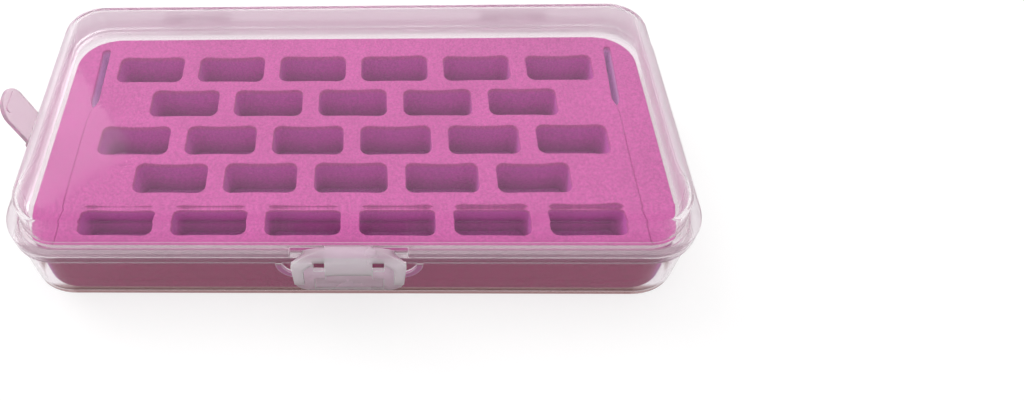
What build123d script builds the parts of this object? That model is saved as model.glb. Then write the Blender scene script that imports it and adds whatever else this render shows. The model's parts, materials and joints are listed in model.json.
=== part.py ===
from build123d import *
import os
from math import cos, radians, sin

os.makedirs("parts", exist_ok=True)

# A clear hinged case for sewing machine bobbins, with a slotted foam insert.
# X runs to the right along the case, Y to the back and Z up, all in millimetres.
# The origin is under the middle of the rim, on the surface that the case rests on.

# Rim and case heights
rim_length = 179.0
rim_width = 89.0
rim_corner = 14.8
case_height = 31.0
parting_height = 19.5
seam_gap = 0.1

# Moulded walls
tray_wall = 1.2
tray_floor = 1.3
tray_draft = 0.5
tray_edge_radius = 1.5
tray_flange_height = 2.7
tray_flange_reach = 0.9
lid_wall = 1.2
lid_top = 1.3
lid_draft = 4.6
lid_edge_radius = 3.0
lid_flange_thickness = 1.6
lid_step = 3.6
rim_edge_radius = 0.35

# Tongue under the lid's rim, which centres the lid in the tray
tongue_play = 0.3
tongue_thickness = 1.1
tongue_depth = 1.7

# Two hinges along the back edge
hinge_spacing = 98.8
hinge_width = 20.0
hinge_offset = 1.6
hinge_barrel_radius = 2.3
hinge_middle_width = 9.7
hinge_side_gap = 0.25
hinge_arm_gap = 0.15
hinge_rim_setback = 0.9
hinge_end_gap = 0.3
pin_radius = 0.9
pin_recess = 0.4
pin_press_clearance = 0.02
pin_running_clearance = 0.06

# Latch, clipped over a bar on the lid and hooked under a rib on the tray
pivot_reach = 0.7
pivot_rise = 2.0
latch_bar_radius = 0.9
latch_clip_clearance = 0.06
latch_half_width = 14.3
latch_foot_half_width = 13.7
latch_foot_corner = 3.5
latch_flat_half_width = 6.3
latch_shoulder_drop = 1.3
latch_foot_drop = 13.2
latch_hood_radius = 2.6
latch_hood_clearance = 0.15
latch_hood_end_angle = 78.0
latch_clip_end_angle = 50.0
latch_clip_jaw_angle = 300.0
latch_jaw_wall = 0.84
latch_plate_thickness = 1.1
latch_relief = 1.0
latch_relief_top_drop = 0.75
latch_band_width = 2.85
latch_band_corner = 3.5
latch_band_drop = 9.2
latch_block_half_width = 5.9
latch_block_drop = 5.0
latch_window_width = 2.9
latch_window_top = 0.5
latch_window_drop = 4.5
latch_recess_depth = 0.4
latch_recess_step_drop = 8.2
latch_recess_foot_drop = 12.7
latch_hook_half_width = 8.8
latch_hook_tip = 0.7
latch_hook_play = 0.2
latch_hook_reach = 1.9
lug_radius = 1.6
lug_width = 2.6
lug_side_gap = 0.2
lug_arm_low = 1.6
lug_arm_high = 0.7
notch_clearance = 0.2
notch_side_gap = 0.5

# Rib on the tray's front wall that the latch hooks under
keeper_half_width = 18.65
keeper_drop = 9.1
keeper_corner = 6.0
keeper_rib = 1.6

# Hanging tab on the left end
tab_axis_reach = 1.0
tab_axis_drop = 1.3
tab_width = 11.2
tab_length = 14.7
tab_thickness = 1.4
tab_edge_radius = 0.3
tab_corner = 4.75
tab_shown_angle = 74.0
tab_knuckle_radius = 1.5
tab_lug_width = 5.0
tab_lug_radius = 1.3
tab_lug_arm_height = 1.8
tab_side_gap = 0.3
tab_bar_radius = 0.9
tab_bar_clearance = 0.06
tab_fork_depth = 1.7
tab_notch_clearance = 0.4
tab_bead_start = 11.0
tab_bead_width = 2.2
tab_bead_length = 7.5
tab_bead_height = 0.5
tab_bead_corner = 1.0

# Foam insert
foam_end_inset = 4.3
foam_side_inset = 3.7
foam_shift_forward = 0.4
foam_corner = 11.8
foam_top_drop = 3.0
foam_floor_thickness = 4.0
slot_length = 20.2
slot_width = 11.15
slot_corner = 2.75
slot_end_web = 4.6
slot_row_web = 3.15
slot_front_margin = 5.4
slot_back_margin = 5.0
slit_inset = 8.2
slit_width = 2.0
slit_length = 24.8
slit_back_bridge = 4.7
slit_side_web = 1.5
cut_width = 0.3

# Overlap that joins two forms of one piece
root = 0.6

# Places that follow from the sizes above
half_length = rim_length / 2
half_width = rim_width / 2
flange_bottom = parting_height - tray_flange_height
lid_bottom = parting_height + seam_gap
lid_flange_top = lid_bottom + lid_flange_thickness
hinge_y = half_width + hinge_offset
hinge_z = parting_height + seam_gap / 2
hinge_centres = (-hinge_spacing / 2, hinge_spacing / 2)
hinge_side_width = (hinge_width - hinge_middle_width) / 2 - hinge_side_gap
hinge_arm_start = half_width - tray_flange_reach - root / 2
hinge_relief_length = hinge_spacing + hinge_width + 2 * hinge_end_gap
rim_back_y = half_width - hinge_rim_setback
pivot_y = -half_width - pivot_reach
pivot_z = parting_height + pivot_rise
lug_inner_x = latch_block_half_width + lug_side_gap
keeper_bottom = parting_height - keeper_drop
tab_axis_x = -half_length - tab_axis_reach
tab_axis_z = parting_height - tab_axis_drop
foam_length = rim_length - 2 * foam_end_inset
foam_width = rim_width - 2 * foam_side_inset
foam_top = parting_height - foam_top_drop
foam_bottom = tray_floor + foam_floor_thickness
foam_front_y = -foam_shift_forward - foam_width / 2
foam_back_y = -foam_shift_forward + foam_width / 2
slit_x = foam_length / 2 - slit_inset
slot_pitch_x = slot_length + slot_end_web
slot_pitch_y = slot_width + slot_row_web
slot_span_x = 2 * (slit_x - slit_width / 2 - slit_side_web)
slot_columns = int((slot_span_x + slot_end_web) // slot_pitch_x)
slot_span_y = foam_width - slot_front_margin - slot_back_margin
slot_rows = int((slot_span_y + slot_row_web) // slot_pitch_y)


def rim_outline(height, inset):
    """The rim's rounded outline, drawn in all round, on the level plane at a height."""
    with BuildSketch(Plane.XY.offset(height)) as outline:
        RectangleRounded(rim_length - 2 * inset, rim_width - 2 * inset, rim_corner - inset)
    return outline.sketch


def hinge_relief(height):
    """The strip that both rims leave free behind the hinges, on the level plane at a height."""
    with BuildSketch(Plane.XY.offset(height)) as strip:
        with Locations((0, rim_back_y)):
            Rectangle(hinge_relief_length, hinge_rim_setback + root, align=(Align.CENTER, Align.MIN))
    return strip.sketch


def knuckle_profile(start_x, arm_low, arm_high, clearance):
    """A hinge knuckle and its arm to the rim, cut square to the hinge axis at start_x."""
    with BuildSketch(Plane.YZ.offset(start_x)) as profile:
        with Locations((hinge_y, hinge_z)):
            Circle(hinge_barrel_radius)
        with Locations((hinge_arm_start, arm_low)):
            Rectangle(hinge_y - hinge_arm_start, arm_high - arm_low, align=(Align.MIN, Align.MIN))
        with Locations((hinge_y, hinge_z)):
            Circle(pin_radius + clearance, mode=Mode.SUBTRACT)
    return profile.sketch


def latch_side(start_x):
    """The plane across the latch's bar at start_x, with its own origin on the bar."""
    return Plane(origin=(start_x, pivot_y, pivot_z), x_dir=(0, 1, 0), z_dir=(1, 0, 0))


def latch_front(depth):
    """The plane that faces the front, a depth behind the latch's bar, with heights from the bar."""
    return Plane(origin=(0, pivot_y + depth, pivot_z), x_dir=(1, 0, 0), z_dir=(0, -1, 0))


def ring_sector(start_x, inner, outer, start, stop):
    """A sector of a ring round the latch's bar, with angles that rise from the back."""
    with BuildSketch(latch_side(start_x)) as sector:
        with BuildLine():
            outside = CenterArc((0, 0), outer, start, stop - start)
            inside = CenterArc((0, 0), inner, start, stop - start)
            Line(outside @ 0, inside @ 0)
            Line(outside @ 1, inside @ 1)
        make_face()
    return sector.sketch


def side_rectangle(start_x, back, low, high):
    """A rectangle across the bar, from the latch's front face to back, between two heights."""
    with BuildSketch(latch_side(start_x)) as rectangle:
        with Locations((-latch_hood_radius, low)):
            Rectangle(latch_hood_radius + back, high - low, align=(Align.MIN, Align.MIN))
    return rectangle.sketch


def front_rectangle(depth, left, right, low, high):
    """A rectangle seen from the front, between two sides and two heights above the bar."""
    with BuildSketch(latch_front(depth)) as rectangle:
        with Locations((left, low)):
            Rectangle(right - left, high - low, align=(Align.MIN, Align.MIN))
    return rectangle.sketch


def tab_plane():
    """The plane of the hanging tab as shown: across the tab, then along it from its axis."""
    lean = radians(tab_shown_angle)
    return Plane(origin=(tab_axis_x, 0, tab_axis_z), x_dir=(0, 1, 0), z_dir=(sin(lean), 0, cos(lean)))


def end_disc(half_y, radius):
    """A disc about the hanging tab's axis, half_y behind the tab's middle, to extrude forwards."""
    with BuildSketch(Plane.XZ.offset(-half_y)) as disc:
        with Locations((tab_axis_x, tab_axis_z)):
            Circle(radius)
    return disc.sketch


def foam_outline(height):
    """The foam's rounded outline on the level plane at a height."""
    with BuildSketch(Plane.XY.offset(height)) as outline:
        with Locations((0, -foam_shift_forward)):
            RectangleRounded(foam_length, foam_width, foam_corner)
    return outline.sketch


# Tray: the lower half of the case
with BuildPart() as base_tray:
    extrude(rim_outline(flange_bottom, tray_flange_reach), amount=-flange_bottom, taper=tray_draft)
    fillet(base_tray.faces().sort_by(Axis.Z)[0].edges(), tray_edge_radius)
    extrude(rim_outline(flange_bottom, 0), amount=tray_flange_height)
    rim_underside = base_tray.faces().filter_by(Axis.Z).sort_by(Axis.Z)[1]
    rim_top = base_tray.faces().sort_by(Axis.Z)[-1]
    fillet(rim_underside.outer_wire().edges() + rim_top.edges(), rim_edge_radius)
    extrude(
        rim_outline(parting_height, tray_flange_reach + tray_wall),
        amount=tray_floor - parting_height,
        taper=tray_draft,
        mode=Mode.SUBTRACT,
    )
    inner_floor = base_tray.faces().filter_by(Axis.Z).sort_by(Axis.Z)[1]
    fillet(inner_floor.edges(), tray_edge_radius - tray_wall)
    extrude(hinge_relief(flange_bottom), amount=tray_flange_height, mode=Mode.SUBTRACT)

    # Two outer knuckles of each hinge, which hold the pin
    for centre in hinge_centres:
        for start_x in (centre - hinge_width / 2, centre + hinge_width / 2 - hinge_side_width):
            arm_low = hinge_z - hinge_barrel_radius
            arm_high = hinge_z - hinge_arm_gap
            extrude(
                knuckle_profile(start_x, arm_low, arm_high, pin_press_clearance),
                amount=hinge_side_width,
            )

    # U-shaped rib under the rim in front, which the latch hooks under
    rib_back_y = -half_width + tray_flange_reach + tray_wall - root
    rib_height = flange_bottom - keeper_bottom
    with BuildSketch(Plane.XZ.offset(-rib_back_y)):
        with Locations((0, flange_bottom)):
            RectangleRounded(2 * keeper_half_width, 2 * rib_height, keeper_corner)
            RectangleRounded(
                2 * (keeper_half_width - keeper_rib),
                2 * (rib_height - keeper_rib),
                keeper_corner - keeper_rib,
                mode=Mode.SUBTRACT,
            )
            Rectangle(
                2 * keeper_half_width,
                rib_height,
                align=(Align.CENTER, Align.MAX),
                mode=Mode.INTERSECT,
            )
    extrude(amount=half_width + rib_back_y)

    # Notch in the rim's left end, with the lug and cross bar that carry the hanging tab
    notch_half = tab_width / 2 + tab_side_gap
    notch = end_disc(notch_half, tab_knuckle_radius + tab_notch_clearance)
    extrude(notch, amount=2 * notch_half, mode=Mode.SUBTRACT)
    with BuildSketch(Plane.XZ.offset(-tab_lug_width / 2)):
        with Locations((tab_axis_x, tab_axis_z)):
            Circle(tab_lug_radius)
            Rectangle(
                tab_axis_reach + tray_flange_reach + root,
                tab_lug_arm_height,
                align=(Align.MIN, Align.CENTER),
            )
    extrude(amount=tab_lug_width)
    bar_half = tab_width / 2 - tab_side_gap
    extrude(end_disc(bar_half, tab_bar_radius), amount=2 * bar_half)
base_tray.part.label = "base_tray"
export_step(base_tray.part, "parts/base_tray.step")

# Lid: the upper half of the case, with the latch's bar between two lugs
with BuildPart() as lid:
    extrude(rim_outline(lid_bottom, 0), amount=lid_flange_thickness)
    fillet(lid.faces().filter_by(Axis.Z).edges(), rim_edge_radius)
    lid_height = case_height - lid_flange_top
    extrude(rim_outline(lid_flange_top, lid_step), amount=lid_height, taper=lid_draft)
    fillet(lid.faces().sort_by(Axis.Z)[-1].edges(), lid_edge_radius)
    tongue_inset = tray_flange_reach + tray_wall + tongue_play
    extrude(rim_outline(lid_bottom, tongue_inset), amount=-tongue_depth)
    extrude(
        rim_outline(lid_bottom, tongue_inset + tongue_thickness),
        amount=-tongue_depth,
        mode=Mode.SUBTRACT,
    )
    inner_inset = lid_step + lid_wall
    extrude(rim_outline(lid_bottom, inner_inset), amount=lid_flange_thickness, mode=Mode.SUBTRACT)
    extrude(
        rim_outline(lid_flange_top, inner_inset),
        amount=lid_height - lid_top,
        taper=lid_draft,
        mode=Mode.SUBTRACT,
    )
    inner_top = lid.faces().filter_by(Axis.Z).sort_by(Axis.Z)[-2]
    fillet(inner_top.edges(), lid_edge_radius - lid_wall)
    extrude(hinge_relief(lid_bottom), amount=lid_flange_thickness, mode=Mode.SUBTRACT)

    # Middle knuckle of each hinge
    for centre in hinge_centres:
        start_x = centre - hinge_middle_width / 2
        arm_low = hinge_z + hinge_arm_gap
        profile = knuckle_profile(start_x, arm_low, lid_flange_top, pin_running_clearance)
        extrude(profile, amount=hinge_middle_width)

    # Notch for the latch's hood, two lugs and the bar that the latch turns on
    notch_half = latch_half_width + notch_side_gap
    notch_radius = latch_hood_radius + notch_clearance
    with BuildSketch(latch_side(-notch_half)):
        Circle(notch_radius)
    extrude(amount=2 * notch_half, mode=Mode.SUBTRACT)
    for start_x in (-lug_inner_x - lug_width, lug_inner_x):
        with BuildSketch(latch_side(start_x)):
            Circle(lug_radius)
            with Locations((0, -lug_arm_high)):
                Rectangle(
                    notch_radius + root,
                    lug_arm_low - lug_arm_high,
                    align=(Align.MIN, Align.MAX),
                )
        extrude(amount=lug_width)
    bar_half = lug_inner_x + lug_width
    with BuildSketch(latch_side(-bar_half)):
        Circle(latch_bar_radius)
    extrude(amount=2 * bar_half)
lid.part.label = "lid"
export_step(lid.part, "parts/lid.step")

# Hinge pins, pressed into the tray's knuckles
pin_half = hinge_width / 2 - pin_recess
for name, centre in (("hinge_pin_left", hinge_centres[0]), ("hinge_pin_right", hinge_centres[1])):
    with BuildPart() as hinge_pin:
        with BuildSketch(Plane.YZ.offset(centre - pin_half)):
            with Locations((hinge_y, hinge_z)):
                Circle(pin_radius)
        extrude(amount=2 * pin_half)
    hinge_pin.part.label = name
    export_step(hinge_pin.part, "parts/" + name + ".step")

# Latch: a plate with a hood over the lugs, a clip round the bar and a hook behind its foot
with BuildPart() as front_latch:
    bore_radius = latch_bar_radius + latch_clip_clearance
    cavity_radius = lug_radius + latch_hood_clearance
    plate_back = -latch_hood_radius + latch_relief + latch_plate_thickness
    extrude(
        side_rectangle(-latch_half_width, plate_back, -latch_foot_drop, 0),
        amount=2 * latch_half_width,
    )
    with BuildSketch(latch_side(-latch_half_width)):
        Circle(cavity_radius)
    extrude(amount=2 * latch_half_width, mode=Mode.SUBTRACT)
    hood = ring_sector(
        -latch_half_width, cavity_radius, latch_hood_radius, latch_hood_end_angle, 180
    )
    extrude(hood, amount=2 * latch_half_width)

    # Outline from the front: oval shoulders, tapering sides and a rounded foot
    shoulder_width = latch_half_width - latch_flat_half_width
    shoulder_height = latch_hood_radius + latch_shoulder_drop
    with BuildSketch(latch_front(latch_hood_radius)) as outline:
        with BuildLine():
            arc = EllipticalCenterArc(
                (latch_flat_half_width, -latch_shoulder_drop),
                shoulder_width,
                shoulder_height,
                arc_size=90,
            )
            Line(arc @ 1, (0, latch_hood_radius))
            Line((0, latch_hood_radius), (0, -latch_foot_drop))
            Line((0, -latch_foot_drop), (latch_foot_half_width, -latch_foot_drop))
            Line((latch_foot_half_width, -latch_foot_drop), arc @ 0)
        half = make_face()
        mirror(half, about=Plane.YZ)
        foot_corners = outline.vertices().group_by(Axis.Y)[0].sort_by(Axis.X)
        fillet([foot_corners[0], foot_corners[-1]], latch_foot_corner)
    extrude(amount=2 * latch_hood_radius, mode=Mode.INTERSECT)

    # Sunk face between the raised band's legs and below them
    band_inside = latch_half_width - latch_band_width
    with BuildSketch(latch_front(-latch_hood_radius + latch_relief)) as sunk:
        with Locations((0, -latch_band_drop)):
            Rectangle(2 * latch_half_width, latch_foot_drop, align=(Align.CENTER, Align.MAX))
        with Locations((0, -latch_relief_top_drop)):
            Rectangle(
                2 * band_inside,
                latch_band_drop - latch_relief_top_drop,
                align=(Align.CENTER, Align.MAX),
            )
        fillet(sunk.vertices().group_by(Axis.Y)[-1], latch_band_corner)
    extrude(amount=latch_relief, mode=Mode.SUBTRACT)

    # Middle block with the clip that snaps onto the bar
    block_start = -latch_block_half_width
    block_width = 2 * latch_block_half_width
    extrude(side_rectangle(block_start, plate_back, -latch_block_drop, 0), amount=block_width)
    clip = ring_sector(block_start, bore_radius, latch_hood_radius, latch_clip_end_angle, 180)
    extrude(clip, amount=block_width)
    jaw_radius = bore_radius + latch_jaw_wall
    jaw = ring_sector(block_start, bore_radius, jaw_radius, 180, latch_clip_jaw_angle)
    extrude(jaw, amount=block_width)
    with BuildSketch(latch_side(-latch_half_width)):
        Circle(bore_radius)
    extrude(amount=2 * latch_half_width, mode=Mode.SUBTRACT)

    # Windows beside the block, and the shallow recess below it
    window_end = latch_block_half_width + latch_window_width
    for left, right in ((latch_block_half_width, window_end), (-window_end, -latch_block_half_width)):
        window = front_rectangle(plate_back, left, right, -latch_window_drop, latch_window_top)
        extrude(window, amount=latch_hood_radius, mode=Mode.SUBTRACT)
    recess_depth = -latch_hood_radius + latch_relief + latch_recess_depth
    for half_x, low, high in (
        (latch_block_half_width, -latch_recess_step_drop, -latch_block_drop),
        (window_end, -latch_recess_foot_drop, -latch_recess_step_drop),
    ):
        recess = front_rectangle(recess_depth, -half_x, half_x, low, high)
        extrude(recess, amount=latch_recess_depth, mode=Mode.SUBTRACT)

    # Hook that catches under the tray's rib, with a ramp below its tip
    hook_top = keeper_bottom - latch_hook_play - pivot_z
    with BuildSketch(latch_side(-latch_hook_half_width)):
        with BuildLine():
            Polyline(
                (plate_back - root, hook_top),
                (plate_back + latch_hook_reach, hook_top),
                (plate_back + latch_hook_reach, hook_top - latch_hook_tip),
                (plate_back, -latch_foot_drop),
                (plate_back - root, -latch_foot_drop),
                close=True,
            )
        make_face()
    extrude(amount=2 * latch_hook_half_width)
front_latch.part.label = "front_latch"
export_step(front_latch.part, "parts/front_latch.step")

# Hanging tab, shown standing up and leaning out from the left end
with BuildPart() as hang_tab:
    with BuildSketch(tab_plane().offset(-tab_thickness / 2)) as tab_outline:
        Rectangle(tab_width, tab_length, align=(Align.CENTER, Align.MIN))
        fillet(tab_outline.vertices().group_by(Axis.Y)[-1], tab_corner)
    extrude(amount=tab_thickness)
    fillet(hang_tab.edges().filter_by(GeomType.CIRCLE), tab_edge_radius)
    extrude(end_disc(tab_width / 2, tab_knuckle_radius), amount=tab_width)
    bead_reach = tab_bead_height + tab_thickness / 2
    with BuildSketch(tab_plane()):
        with Locations((0, tab_bead_start + tab_bead_width / 2)):
            RectangleRounded(tab_bead_length, tab_bead_width, tab_bead_corner)
    extrude(amount=bead_reach)
    fork_gap = tab_lug_width / 2 + tab_side_gap
    with BuildSketch(tab_plane().offset(-tab_knuckle_radius)):
        with Locations((0, -tab_knuckle_radius)):
            Rectangle(
                2 * fork_gap,
                tab_knuckle_radius + tab_fork_depth,
                align=(Align.CENTER, Align.MIN),
            )
    extrude(amount=2 * tab_knuckle_radius, mode=Mode.SUBTRACT)
    bore = end_disc(tab_width / 2, tab_bar_radius + tab_bar_clearance)
    extrude(bore, amount=tab_width, mode=Mode.SUBTRACT)
hang_tab.part.label = "hang_tab"
export_step(hang_tab.part, "parts/hang_tab.step")

# Foam block: rows of slots that are staggered by half a pitch, and a slit along each end
with BuildPart() as foam_block:
    extrude(foam_outline(foam_bottom), amount=foam_top - foam_bottom)
    first_row_y = foam_front_y + slot_front_margin + slot_width / 2
    with BuildSketch(Plane.XY.offset(foam_bottom)):
        for row in range(slot_rows):
            columns = slot_columns - row % 2
            with Locations((0, first_row_y + row * slot_pitch_y)):
                with GridLocations(slot_pitch_x, 0, columns, 1):
                    RectangleRounded(slot_length, slot_width, slot_corner)
        for side_x in (-slit_x, slit_x):
            with Locations((side_x, foam_back_y - slit_back_bridge - slit_length / 2)):
                SlotOverall(slit_length, slit_width, rotation=90)
            cut_back_y = foam_back_y - slit_back_bridge - slit_length + slit_width / 2
            with Locations((side_x, cut_back_y)):
                Rectangle(cut_width, cut_back_y - foam_front_y, align=(Align.CENTER, Align.MAX))
    extrude(amount=foam_top - foam_bottom, mode=Mode.SUBTRACT)
foam_block.part.label = "foam_block"
export_step(foam_block.part, "parts/foam_block.step")

# Thin sheet under the foam block, which closes the slots
with BuildPart() as foam_floor:
    extrude(foam_outline(tray_floor), amount=foam_floor_thickness)
foam_floor.part.label = "foam_floor"
export_step(foam_floor.part, "parts/foam_floor.step")
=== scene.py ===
import json
import math

import bmesh
import bpy
import numpy as np
from mathutils import Matrix, Vector


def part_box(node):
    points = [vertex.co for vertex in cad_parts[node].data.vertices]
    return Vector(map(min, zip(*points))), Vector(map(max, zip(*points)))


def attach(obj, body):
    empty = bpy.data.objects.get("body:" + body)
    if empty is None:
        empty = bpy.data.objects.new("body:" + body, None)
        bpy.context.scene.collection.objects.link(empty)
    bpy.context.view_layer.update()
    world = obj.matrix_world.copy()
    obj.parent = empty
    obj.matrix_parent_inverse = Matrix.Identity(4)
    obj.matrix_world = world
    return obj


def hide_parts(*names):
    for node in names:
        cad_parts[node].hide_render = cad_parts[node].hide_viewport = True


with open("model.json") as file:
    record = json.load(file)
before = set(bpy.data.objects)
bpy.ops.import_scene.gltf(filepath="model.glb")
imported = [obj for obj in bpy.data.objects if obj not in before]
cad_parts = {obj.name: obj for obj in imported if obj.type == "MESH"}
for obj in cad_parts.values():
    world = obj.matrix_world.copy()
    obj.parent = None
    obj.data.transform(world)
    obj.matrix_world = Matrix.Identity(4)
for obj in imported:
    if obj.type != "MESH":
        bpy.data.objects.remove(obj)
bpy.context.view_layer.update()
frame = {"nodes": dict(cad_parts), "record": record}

bl_info = {
    "name": "Bobbin storage box",
    "version": (1, 0, 0),
    "blender": (4, 5, 0),
    "location": "3D View > Sidebar > Bobbin Box",
    "description": "Finishes a clear hinged case for sewing machine bobbins and its slotted foam insert",
    "category": "Add Mesh",
}

# A millimetre in metres
MM = 0.001

# Zones of the case, in millimetres: out from its middle, back and up from the origin, and corner, the
# distance from the rectangle of the corners' centres. A zone begins at the first place and is full at
# the second. The blasted ends are the sides, less so at the front, the rim, the back and its corners
CORNER_CENTRE = (75.5 * MM, 30.5 * MM, 1.0)
BLASTED_ENDS = (
    {"out": (80.8, 83.2), "back": (-34.0, -22.0)},
    {"out": (85.2, 86.6)},
    {"back": (37.8, 39.2)},
    {"out": (74.0, 78.0), "back": (5.0, 15.0), "corner": (6.0, 8.0)},
)
ABOVE_TRAY = ({"up": (14.5, 17.5)}, {"back": (-43.7, -44.0)})
CASE_FRONT = (-40.6, -41.4)
LATCH_FRONT = (-46.9, -47.3)
FRONT_WALL = (-39.8, -40.6)
FACING_EDGES = (-38.0, -41.0)
FOOT_TOP = (3.4, 2.2)
RIB_TOP = (16.6, 16.0)
RIB_STANDS_OUT = 2.35
# Painted light: the ribs' pink stands in for the light that comes off the foam behind them
RIB_PAINTED_FOAM_LIGHT = "#D48FBC"

# The photograph's camera, in degrees, metres and pixels of the photograph
CAMERA_RISE, CAMERA_ROUND, CAMERA_ROLL = 54.597, 2.988, -2.409
CAMERA_TARGET = (0.0, -0.02511, 0.0)
CAMERA_DISTANCE = 0.226264
FOCAL_LENGTH = 799.09
OPTICAL_CENTRE = (352.0, 240.0)
PHOTO_SIZE = (1024, 401)

# The side lamp's power against the key lamp's, and the floor's radius in metres
SIDE_LAMP_SHARE = 3.2
FLOOR_RADIUS = 2.0


def linear(hex_colour):
    """sRGB hex to linear RGB: each channel goes through the sRGB curve, undone."""
    channels = np.array([int(hex_colour[i : i + 2], 16) for i in (1, 3, 5)]) / 255
    undone = np.where(channels <= 0.04045, channels / 12.92, ((channels + 0.055) / 1.055) ** 2.4)
    return tuple(float(c) for c in undone)


def node(tree, kind, settings=None, links=None, values=None, **inputs):
    """Adds one node. settings are its own properties, links its sockets' sources, and values and
    inputs its sockets' values. In inputs a socket's name has underscores for spaces; in links and
    values it may be a number."""
    made = tree.nodes.new(kind)
    for name, value in (settings or {}).items():
        setattr(made, name, value)
    for name, value in inputs.items():
        made.inputs[name.replace("_", " ")].default_value = value
    for socket, value in (values or {}).items():
        made.inputs[socket].default_value = value
    for socket, source in (links or {}).items():
        tree.links.new(source, made.inputs[socket])
    return made


def per_size(size_mm):
    """A texture scale whose pattern repeats about once in size_mm, on coordinates in metres."""
    return 1.0 / (size_mm * MM)


def empty_material(name):
    """A material with nodes and nothing in its tree yet."""
    material = bpy.data.materials.new(name)
    material.use_nodes = True
    material.node_tree.nodes.clear()
    return material


def joined(tree, operation, masks):
    """One mask from several: their product with MULTIPLY, the greatest of them with MAXIMUM."""
    whole = masks[0]
    for mask in masks[1:]:
        both = node(tree, "ShaderNodeMath", {"operation": operation}, {0: whole, 1: mask})
        whole = both.outputs[0]
    return whole


def laid_over(tree, base, layers):
    """A colour with others laid over it in turn, each where its mask is 1. The base is a colour or
    the socket that gives one."""
    shade = base
    for mask, colour in layers:
        links, values = {"Factor": mask}, {7: (*colour, 1.0)}
        if isinstance(shade, bpy.types.NodeSocket):
            links[6] = shade
        else:
            values[6] = (*shade, 1.0)
        shade = node(tree, "ShaderNodeMix", {"data_type": "RGBA"}, links, values).outputs[2]
    return shade


def let_light_through(tree, shader, tint):
    """Puts a Transparent shader in for lamp rays and for light that a matt surface gathers, so that
    what is inside the clear plastic is lit through its walls, each face keeping back a little. Light
    mirrored inside a wall leaves it in the same way, so that thick rims stay pale."""
    path = node(tree, "ShaderNodeLightPath")
    lit = shader
    for ray, shares in (
        ("Is Reflection Ray", (0.94, 0.88, 0.91)),
        ("Is Diffuse Ray", (1.0, 1.0, 1.0)),
        ("Is Shadow Ray", (1.0, 1.0, 1.0)),
    ):
        kept = [tint * share for share in shares]
        clear = node(tree, "ShaderNodeBsdfTransparent", Color=(*kept, 1.0))
        links = {0: path.outputs[ray], 1: lit.outputs[0], 2: clear.outputs[0]}
        lit = node(tree, "ShaderNodeMixShader", links=links)
    return lit


def case_places(tree, place):
    """The distances that give the zones of the case: out from the middle, back, up, and how far a
    point is from the rectangle that the corners' centres span, seen from above."""
    axes = node(tree, "ShaderNodeSeparateXYZ", links={0: place})
    out = node(tree, "ShaderNodeMath", {"operation": "ABSOLUTE"}, {0: axes.outputs["X"]})
    beyond = node(tree, "ShaderNodeVectorMath", {"operation": "ABSOLUTE"}, {0: place})
    for operation, term in (("SUBTRACT", CORNER_CENTRE), ("MAXIMUM", (0.0, 0.0, 0.0))):
        settings, links = {"operation": operation}, {0: beyond.outputs[0]}
        beyond = node(tree, "ShaderNodeVectorMath", settings, links, {1: term})
    reach = node(tree, "ShaderNodeVectorMath", {"operation": "LENGTH"}, {0: beyond.outputs[0]})
    return {
        "out": out.outputs[0],
        "back": axes.outputs["Y"],
        "up": axes.outputs["Z"],
        "corner": reach.outputs["Value"],
    }


def zone(tree, places, strength=1.0, **bounds):
    """The mask of a zone of the case. Along each distance that bounds it, it rises from 0 at one
    place to strength at another, both in millimetres, and what several bound is their product."""
    rises = [
        node(
            tree,
            "ShaderNodeMapRange",
            links={"Value": places[name]},
            From_Min=start * MM,
            From_Max=end * MM,
            To_Max=strength,
        ).outputs["Result"]
        for name, (start, end) in bounds.items()
    ]
    return joined(tree, "MULTIPLY", rises)


def case_zones(tree, place, front_mm):
    """Masks of the rim, foot, ribs and blasted parts of the case, and of the edges that face the
    camera; the rim, foot, ribs and facing masks place painted shade, a painted reflection, painted
    foam light and a painted highlight. The front rim begins between the two places of front_mm."""
    places = case_places(tree, place)
    ends = joined(tree, "MAXIMUM", [zone(tree, places, **bounds) for bounds in BLASTED_ENDS])
    front = zone(tree, places, back=front_mm)
    # The blasting is lighter on the front rim, and the tray has none below its flange
    faint = zone(tree, places, strength=0.35, back=front_mm)
    high = joined(tree, "MAXIMUM", [zone(tree, places, **bounds) for bounds in ABOVE_TRAY])
    # Ribs stand out of the wall under the front rim
    rib_start = front_mm[1] - RIB_STANDS_OUT
    ribs = zone(tree, places, back=(rib_start, rib_start - 0.2), up=RIB_TOP)
    frosted = joined(tree, "MULTIPLY", [joined(tree, "MAXIMUM", [ends, faint]), high])
    outer = joined(tree, "MAXIMUM", [ends, zone(tree, places, back=FRONT_WALL)])
    return {
        "blasted": joined(tree, "MAXIMUM", [frosted, ribs]),
        "rim": joined(tree, "MAXIMUM", [joined(tree, "MULTIPLY", [front, high]), ribs]),
        "foot": joined(tree, "MULTIPLY", [outer, zone(tree, places, up=FOOT_TOP)]),
        "ribs": ribs,
        "facing": zone(tree, places, back=FACING_EDGES),
    }


def moulded_relief(tree, place):
    """The normal of a moulded face: slow waves from uneven cooling, and the fine ripple of the
    mould's polish, which is drawn coarse enough to show."""
    normal = None
    for size_mm, detail, fineness, strength, height_mm in (
        (26.0, 1.0, 0.4, 0.07, 1.2),
        (3.5, 2.0, 0.5, 0.05, 0.12),
    ):
        texture = node(
            tree,
            "ShaderNodeTexNoise",
            links={"Vector": place},
            Scale=per_size(size_mm),
            Detail=detail,
            Roughness=fineness,
        )
        links = {"Height": texture.outputs["Fac"]}
        if normal:
            links["Normal"] = normal
        bump = node(tree, "ShaderNodeBump", links=links, Strength=strength, Distance=height_mm * MM)
        normal = bump.outputs["Normal"]
    return normal


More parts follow.
